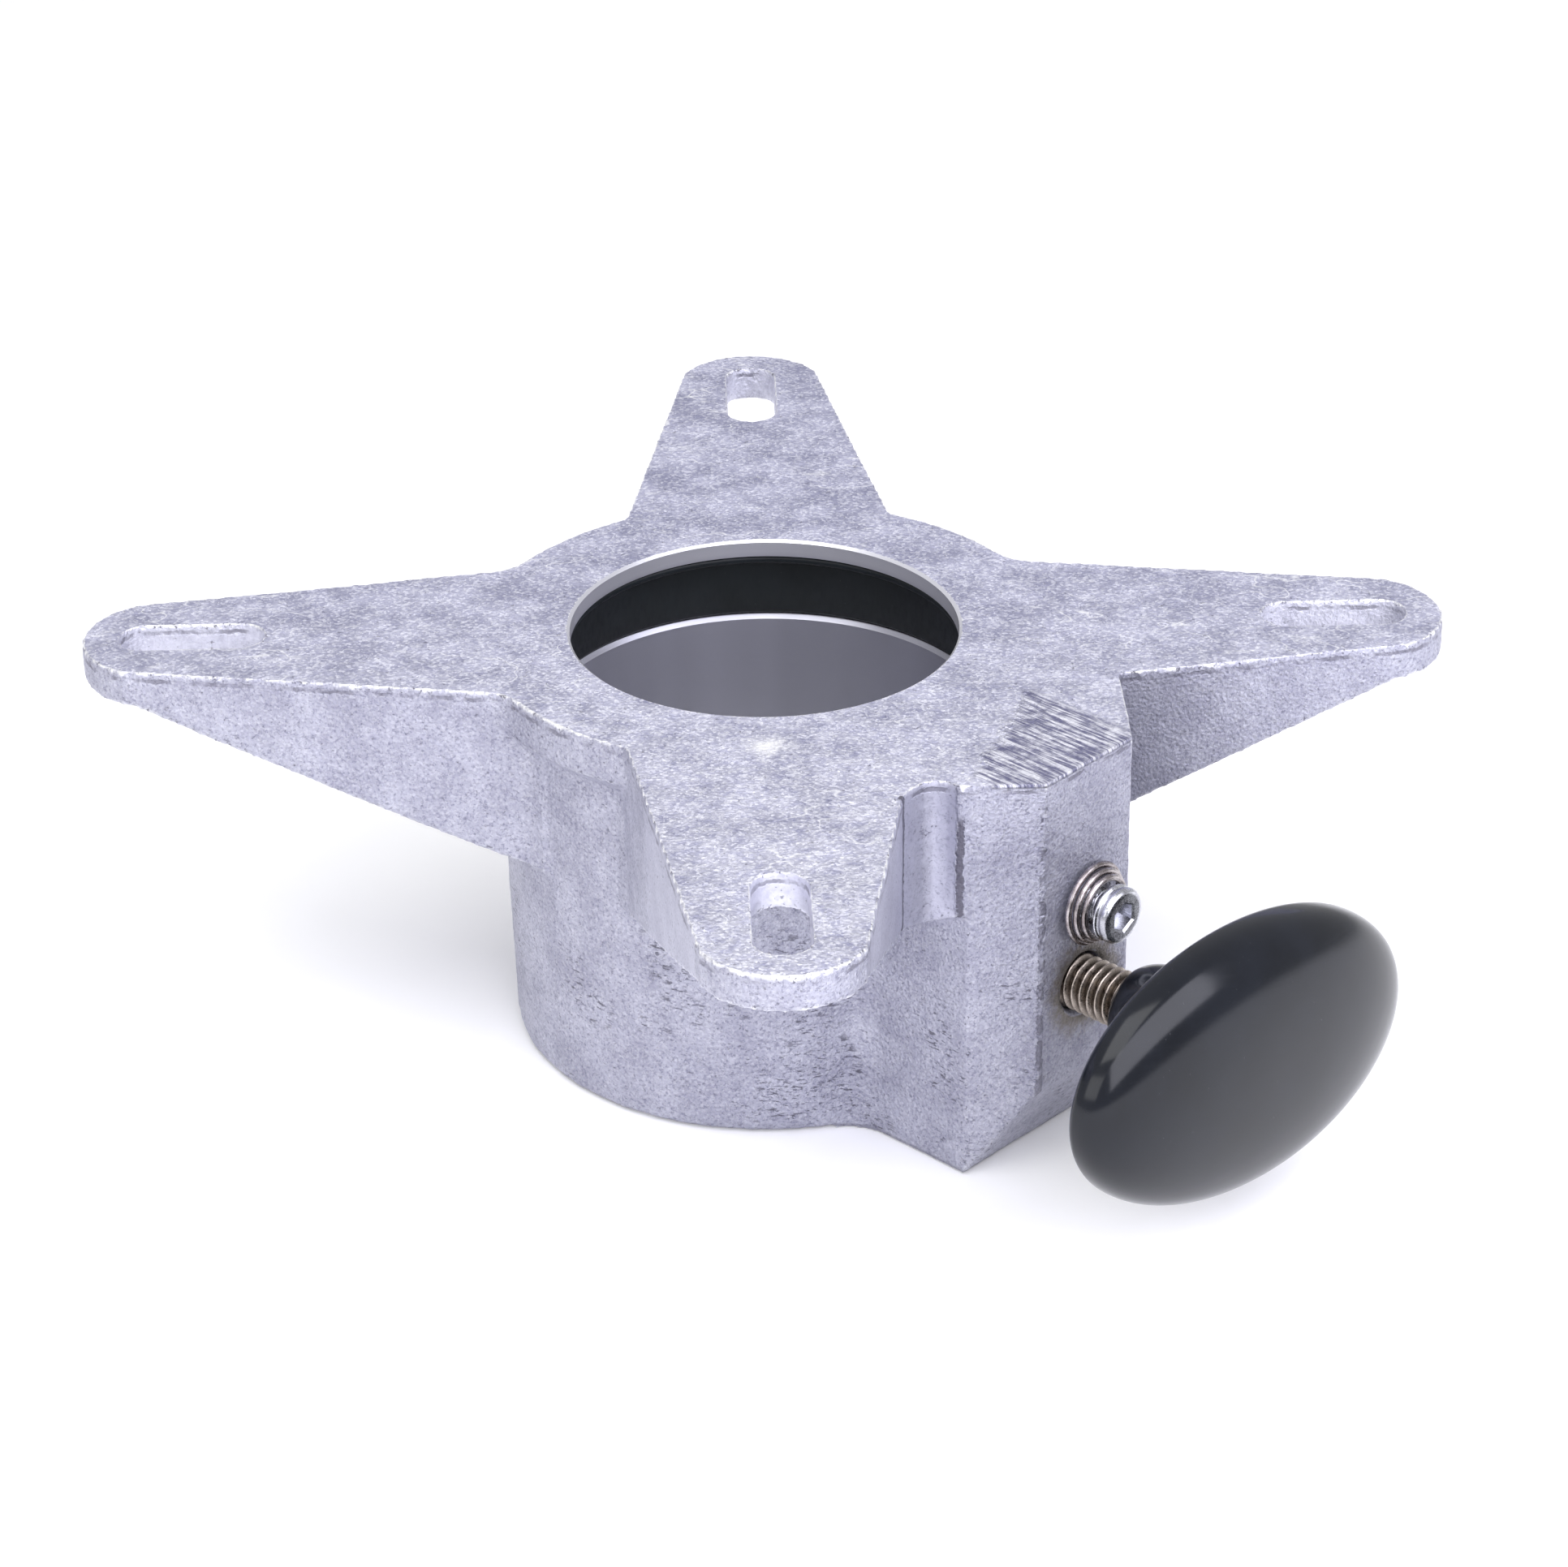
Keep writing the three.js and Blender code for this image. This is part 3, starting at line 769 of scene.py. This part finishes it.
def build_casting():
    casting = plugged_casting()
    roughen(casting)
    casting.data.materials.clear()
    casting.data.materials.append(cast_aluminium())
    machined = machined_aluminium()
    cutters = [
        bore_cutter(),
        hole_cutter(STUD_HOLE_RADIUS, STUD["height"]),
        hole_cutter(SCREW_HOLE_RADIUS, SCREW["height"]),
    ]
    for cutter in cutters:
        cutter.data.materials.append(machined)
        combined(casting, cutter, "DIFFERENCE")
    mark_edges(casting.data)
    shade_smooth(casting.data, 40)
    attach(casting, "casting")
    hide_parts("spider_casting")


def build_bushing():
    top = CASTING_HEIGHT - LIP_THICKNESS - TOUCH_GAP
    bottom = CASTING_HEIGHT - RECESS_DEPTH + TOUCH_GAP
    outer = RECESS_RADIUS - TOUCH_GAP
    inner = BORE_RADIUS + 0.1
    flange = 32.2
    section = [
        (inner, bottom + 0.5),
        (inner + 0.5, bottom),
        (outer - 0.3, bottom),
        (outer, bottom + 0.3),
        (outer, top - 0.3),
        (outer - 0.3, top),
        (flange + 0.3, top),
        (flange, top - 0.3),
        (flange, top - 1.0),
        (flange + 0.3, top - 1.3),
        (inner - 0.6, top - 1.3),
        (inner - 0.2, top - 1.5),
        (inner, top - 2.0),
    ]
    mesh = ring_lathe("bushing_sleeve", section, 224)
    mesh.materials.append(black_plastic("black_nylon", 0.42, 0.55, (0.006, 0.008, 0.010), 0.28))
    shade_smooth(mesh, 50)
    bushing = new_object("bushing_sleeve", mesh)
    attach(bushing, "casting")
    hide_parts("upper_bushing")


def knob_oval():
    """The knob's oval body: a full rim, a domed front and a flatter back, in mm along Z."""
    across = 160
    rows = 72
    points = []
    faces = []
    power = 2 / KNOB_FULLNESS
    for j in range(rows + 1):
        slope = math.pi * j / rows - math.pi / 2
        reach = abs(math.cos(slope))
        rise = math.copysign(abs(math.sin(slope)) ** power, math.sin(slope))
        depth = KNOB_FRONT - KNOB_RIM if rise > 0 else KNOB_BACK_DEPTH
        z = (KNOB_RIM + rise * depth) * MM
        if j in (0, rows):
            points.append((0, 0, z))
            continue
        spread = reach ** power
        for i in range(across):
            angle = 2 * math.pi * i / across
            x = spread * KNOB_HALF_HEIGHT * MM * math.cos(angle)
            y = spread * KNOB_HALF_WIDTH * MM * math.sin(angle)
            points.append((x, y, z))
    first = 1
    for i in range(across):
        j = (i + 1) % across
        faces.append((0, first + j, first + i))
    for row in range(rows - 2):
        low = first + row * across
        high = low + across
        for i in range(across):
            j = (i + 1) % across
            faces.append((low + i, low + j, high + j, high + i))
    last = first + (rows - 2) * across
    top = len(points) - 1
    for i in range(across):
        j = (i + 1) % across
        faces.append((last + i, last + j, top))
    return mesh_from("knob_oval", points, faces)


def build_knob():
    place = boss_frame(STUD["height"], KNOB_TILT)
    knob = new_object("oval_knob", knob_oval(), place)
    hub_profile = rounded(
        [(0, 78.6), (6.3, 78.6), (8.0, 81.6), (9.6, 93.0), (12.4, 94.9), (12.4, 99.0), (0, 99.0)], 1.6
    )
    hub = new_object("knob_hub", lathe("knob_hub", hub_profile, 96), place)
    combined(knob, hub, "UNION")
    socket_radius = STUD["radius"] + TOUCH_GAP
    socket_profile = [
        (0, 78.0),
        (socket_radius + 0.5, 78.0),
        (socket_radius + 0.5, 78.6),
        (socket_radius, 79.1),
        (socket_radius, 101.3),
        (0, 101.3),
    ]
    socket = new_object("knob_socket", lathe("knob_socket", socket_profile, 64), place)
    combined(knob, socket, "DIFFERENCE")
    knob.data.materials.clear()
    knob.data.materials.append(black_plastic("black_gloss", 0.14, 0.19, (0.005, 0.006, 0.009), 0.33))
    shade_smooth(knob.data, 32)
    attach(knob, "knob")
    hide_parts("clamp_knob")


def helical_rod(name, spec, tail):
    """A rod with a helical V-shaped thread, its crests and roots slightly flat, then a plain tail."""
    around = 48
    per_turn = 12
    pitch = spec["pitch"]
    start = spec["start"]
    end = spec["end"]
    rows = int(round((end - start) / pitch * per_turn))
    points = [(0, 0, start * MM)]
    rings = []
    for row in range(rows + 1):
        z = start + (end - start) * row / rows
        fade = min(1.0, (z - start) / pitch, (end - z) / pitch + 0.15)
        ring = []
        for i in range(around):
            angle = 2 * math.pi * i / around
            phase = (z / pitch - i / around) % 1.0
            tooth = min(1.0, max(0.0, 1.25 * (1 - abs(2 * phase - 1)) - 0.1))
            radius = spec["root"] + (spec["radius"] - spec["root"]) * tooth * max(fade, 0)
            ring.append(len(points))
            points.append((radius * MM * math.cos(angle), radius * MM * math.sin(angle), z * MM))
        rings.append(ring)
    for radius, z in tail:
        ring = []
        for i in range(around):
            angle = 2 * math.pi * i / around
            ring.append(len(points))
            points.append((radius * MM * math.cos(angle), radius * MM * math.sin(angle), z * MM))
        rings.append(ring)
    last_z = tail[-1][1] if tail else end
    points.append((0, 0, last_z * MM))
    faces = []
    for i in range(around):
        j = (i + 1) % around
        faces.append((0, rings[0][j], rings[0][i]))
        for low, high in zip(rings, rings[1:]):
            faces.append((low[i], low[j], high[j], high[i]))
        faces.append((rings[-1][i], rings[-1][j], len(points) - 1))
    return mesh_from(name, points, faces)


def build_stud():
    tail = [
        (STUD_TAIL["radius"], STUD["end"] + 0.4),
        (STUD_TAIL["radius"], STUD_TAIL["end"] - 0.5),
        (STUD_TAIL["radius"] - 0.5, STUD_TAIL["end"]),
    ]
    mesh = helical_rod("threaded_stud", STUD, tail)
    stain = (0.045, 0.034, 0.026)
    metal = (0.46, 0.40, 0.35)
    mesh.materials.append(threaded_steel("stained_steel", STUD["root"], STUD["radius"], stain, metal))
    shade_smooth(mesh, 60)
    stud = new_object("threaded_stud", mesh, boss_frame(STUD["height"]))
    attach(stud, "knob")
    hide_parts("knob_stud")


def build_screw():
    place = boss_frame(SCREW["height"])
    head = SCREW_HEAD
    tail = [(SCREW["radius"] - 0.25, SCREW["end"] + 0.2), (SCREW["radius"] - 0.25, head["end"] - 1.5)]
    screw = new_object("socket_screw", helical_rod("socket_screw", SCREW, tail), place)
    barrel = rounded(
        [
            (0, head["start"]),
            (head["radius"] - 0.1, head["start"]),
            (head["radius"], head["start"] + 0.45),
            (head["radius"] - 0.55, head["start"] + 0.75),
            (head["radius"] - 0.15, head["start"] + 1.2),
            (head["radius"] - 0.05, head["end"] - 0.8),
            (head["radius"] - 0.45, head["end"] - 0.15),
            (head["radius"] - 1.0, head["end"]),
            (0, head["end"]),
        ],
        0.5,
    )
    cap = new_object("screw_cap", lathe("screw_cap", barrel, 96), place)
    combined(screw, cap, "UNION")
    hexagon = lathe(
        "hex_cutter",
        [
            (0, head["end"] - head["socket_depth"]),
            (head["socket"], head["end"] - head["socket_depth"]),
            (head["socket"], head["end"] - 0.35),
            (head["socket"] + 0.4, head["end"] + 0.05),
            (head["socket"] + 0.4, head["end"] + 1.0),
            (0, head["end"] + 1.0),
        ],
        6,
    )
    combined(screw, new_object("hex_cutter", hexagon, place), "DIFFERENCE")
    screw.data.materials.clear()
    steel = drawn_steel("bright_steel", (0.42, 0.42, 0.46), (0.66, 0.67, 0.71), 0.18, 0.34)
    screw.data.materials.append(steel)
    shade_smooth(screw.data, 40)
    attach(screw, "tension_screw")
    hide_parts("tension_screw")


def build_spring():
    """A conical coil with plain cut ends."""
    steps = 260
    around = 16
    wire = SPRING["wire"]
    first = BOSS_FACE + wire + TOUCH_GAP
    last = SCREW_HEAD["start"] - wire - TOUCH_GAP
    points = []
    faces = []

    def centre(t):
        angle = 2 * math.pi * SPRING["turns"] * t
        radius = SPRING["base"] + (SPRING["top"] - SPRING["base"]) * t
        return Vector((radius * math.cos(angle), radius * math.sin(angle), first + (last - first) * t))

    for k in range(steps + 1):
        t = k / steps
        here = centre(t)
        tangent = (centre(t + 1e-4) - centre(t - 1e-4)).normalized()
        outward = Vector((here.x, here.y, 0)).normalized()
        side = (outward - tangent * outward.dot(tangent)).normalized()
        up = tangent.cross(side)
        for i in range(around):
            angle = 2 * math.pi * i / around
            points.append((here + side * wire * math.cos(angle) + up * wire * math.sin(angle)) * MM)
    for k in range(steps):
        for i in range(around):
            j = (i + 1) % around
            low = k * around
            high = low + around
            faces.append((low + i, low + j, high + j, high + i))
    faces.append(tuple(range(around)))
    faces.append(tuple(steps * around + i for i in range(around)))
    mesh = mesh_from("conical_spring", points, faces)
    mesh.materials.append(drawn_steel("spring_steel", (0.24, 0.21, 0.21), (0.50, 0.46, 0.46), 0.20, 0.36))
    shade_smooth(mesh, 60)
    place = boss_frame(SCREW["height"])
    spring = new_object("conical_spring", mesh, place)
    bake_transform(spring)
    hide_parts("tension_spring")


def build_pad(name, node, body, rod, length, material):
    radius = rod["root"]
    back = rod["start"] - TOUCH_GAP
    front = back - length
    profile = [(0, front), (radius - 0.6, front), (radius, front + 0.6), (radius, back), (0, back)]
    profile = rounded(profile, 0.35)
    mesh = lathe(name, profile, 72)
    mesh.materials.append(material)
    shade_smooth(mesh, 35)
    pad = new_object(name, mesh, boss_frame(rod["height"]))
    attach(pad, body)
    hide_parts(node)


# ---------------------------------------------------------------- stage


def build_floor():
    size = 3.0
    corners = [(-size, -size, 0), (size, -size, 0), (size, size, 0), (-size, size, 0)]
    mesh = mesh_from("floor", corners, [(0, 1, 2, 3)])
    mesh.materials.append(floor_paper())
    floor = new_object("floor", mesh)
    floor.location.z = cad_low.z - 0.0002


def build_camera():
    data = bpy.data.cameras.new("camera")
    data.lens = CAMERA_LENS
    data.sensor_width = 36
    data.clip_start = 0.01
    data.clip_end = 20
    camera = bpy.data.objects.new("camera", data)
    bpy.context.scene.collection.objects.link(camera)
    look = Vector((0, math.cos(CAMERA_ELEVATION), -math.sin(CAMERA_ELEVATION)))
    up = Vector((0, math.sin(CAMERA_ELEVATION), math.cos(CAMERA_ELEVATION)))
    right = Vector((1, 0, 0))
    place = -look * CAMERA_DISTANCE + right * CAMERA_RIGHT + up * CAMERA_UP
    yaw = Matrix.Rotation(CAMERA_YAW, 3, "Z")
    axes = Matrix((right, up, -look)).transposed()
    roll = Matrix.Rotation(-CAMERA_ROLL, 3, "Z")
    turned = (yaw @ axes @ roll).to_4x4()
    turned.translation = yaw @ place + Vector((0, 0, cad_high.z))
    camera.matrix_world = turned
    bpy.context.scene.camera = camera


def area_light(name, place, target, size, power, colour=(1, 1, 1), roll=0.0):
    data = bpy.data.lights.new(name, "AREA")
    data.shape = "RECTANGLE"
    data.size = size[0]
    data.size_y = size[1]
    data.energy = power
    data.color = colour
    light = bpy.data.objects.new(name, data)
    bpy.context.scene.collection.objects.link(light)
    away = Vector(place) - Vector(target)
    light.rotation_mode = "QUATERNION"
    light.rotation_quaternion = away.to_track_quat("Z", "Y") @ Quaternion((0, 0, 1), roll)
    light.location = place


def build_world():
    """A soft studio surround: brighter behind the part and to its left."""
    world = bpy.data.worlds.new("studio")
    bpy.context.scene.world = world
    world.use_nodes = True
    tree = world.node_tree
    tree.nodes.clear()
    output = tree.nodes.new("ShaderNodeOutputWorld")
    surround = tree.nodes.new("ShaderNodeBackground")
    tree.links.new(surround.outputs[0], output.inputs[0])
    place = tree.nodes.new("ShaderNodeTexCoord")
    split = tree.nodes.new("ShaderNodeSeparateXYZ")
    tree.links.new(place.outputs["Generated"], split.inputs[0])

    def slope(axis, start, end):
        node = tree.nodes.new("ShaderNodeMapRange")
        node.inputs["From Min"].default_value = -1.0
        node.inputs["From Max"].default_value = 1.0
        node.inputs["To Min"].default_value = start
        node.inputs["To Max"].default_value = end
        tree.links.new(split.outputs[axis], node.inputs["Value"])
        return node.outputs["Result"]

    both = tree.nodes.new("ShaderNodeMath")
    both.operation = "MULTIPLY"
    tree.links.new(slope("Y", 0.60, 0.78), both.inputs[0])
    tree.links.new(slope("X", 1.08, 0.75), both.inputs[1])
    surround.inputs["Color"].default_value = (0.97, 0.97, 1.0, 1)
    tree.links.new(both.outputs[0], surround.inputs["Strength"])


def build_lights():
    area_light("top", (-0.12, -0.25, 0.80), PART_MIDDLE, (0.6, 0.6), 3.2)
    area_light("front", (-0.60, -0.75, 0.45), PART_MIDDLE, (0.8, 0.45), 2.2)
    lavender = (0.90, 0.90, 1.0)
    area_light("strip", (0.44, -0.52, 0.56), KNOB_PLACE, (1.1, 0.68), 9.4, lavender, STRIP_ROLL)


def set_view():
    view = bpy.context.scene.view_settings
    view.view_transform = "Standard"
    view.look = "None"
    view.exposure = 0.0
    view.gamma = 1.0


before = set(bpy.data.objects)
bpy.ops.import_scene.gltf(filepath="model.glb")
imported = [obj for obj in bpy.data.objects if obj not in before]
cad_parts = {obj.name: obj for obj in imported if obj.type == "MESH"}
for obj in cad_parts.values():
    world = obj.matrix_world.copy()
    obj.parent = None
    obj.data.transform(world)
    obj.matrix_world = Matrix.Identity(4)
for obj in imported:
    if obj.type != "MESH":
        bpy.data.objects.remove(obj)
cad_low, cad_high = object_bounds()

build_camera()
build_casting()
build_bushing()
build_knob()
build_stud()
build_screw()
build_spring()
nylon = natural_nylon()
build_pad("clamp_tip", "clamp_pad", "clamp_pad", STUD, CLAMP_TIP_LENGTH, nylon)
build_pad("tension_tip", "tension_pad", "tension_pad", SCREW, TENSION_TIP_LENGTH, nylon)
build_floor()
build_world()
build_lights()
set_view()
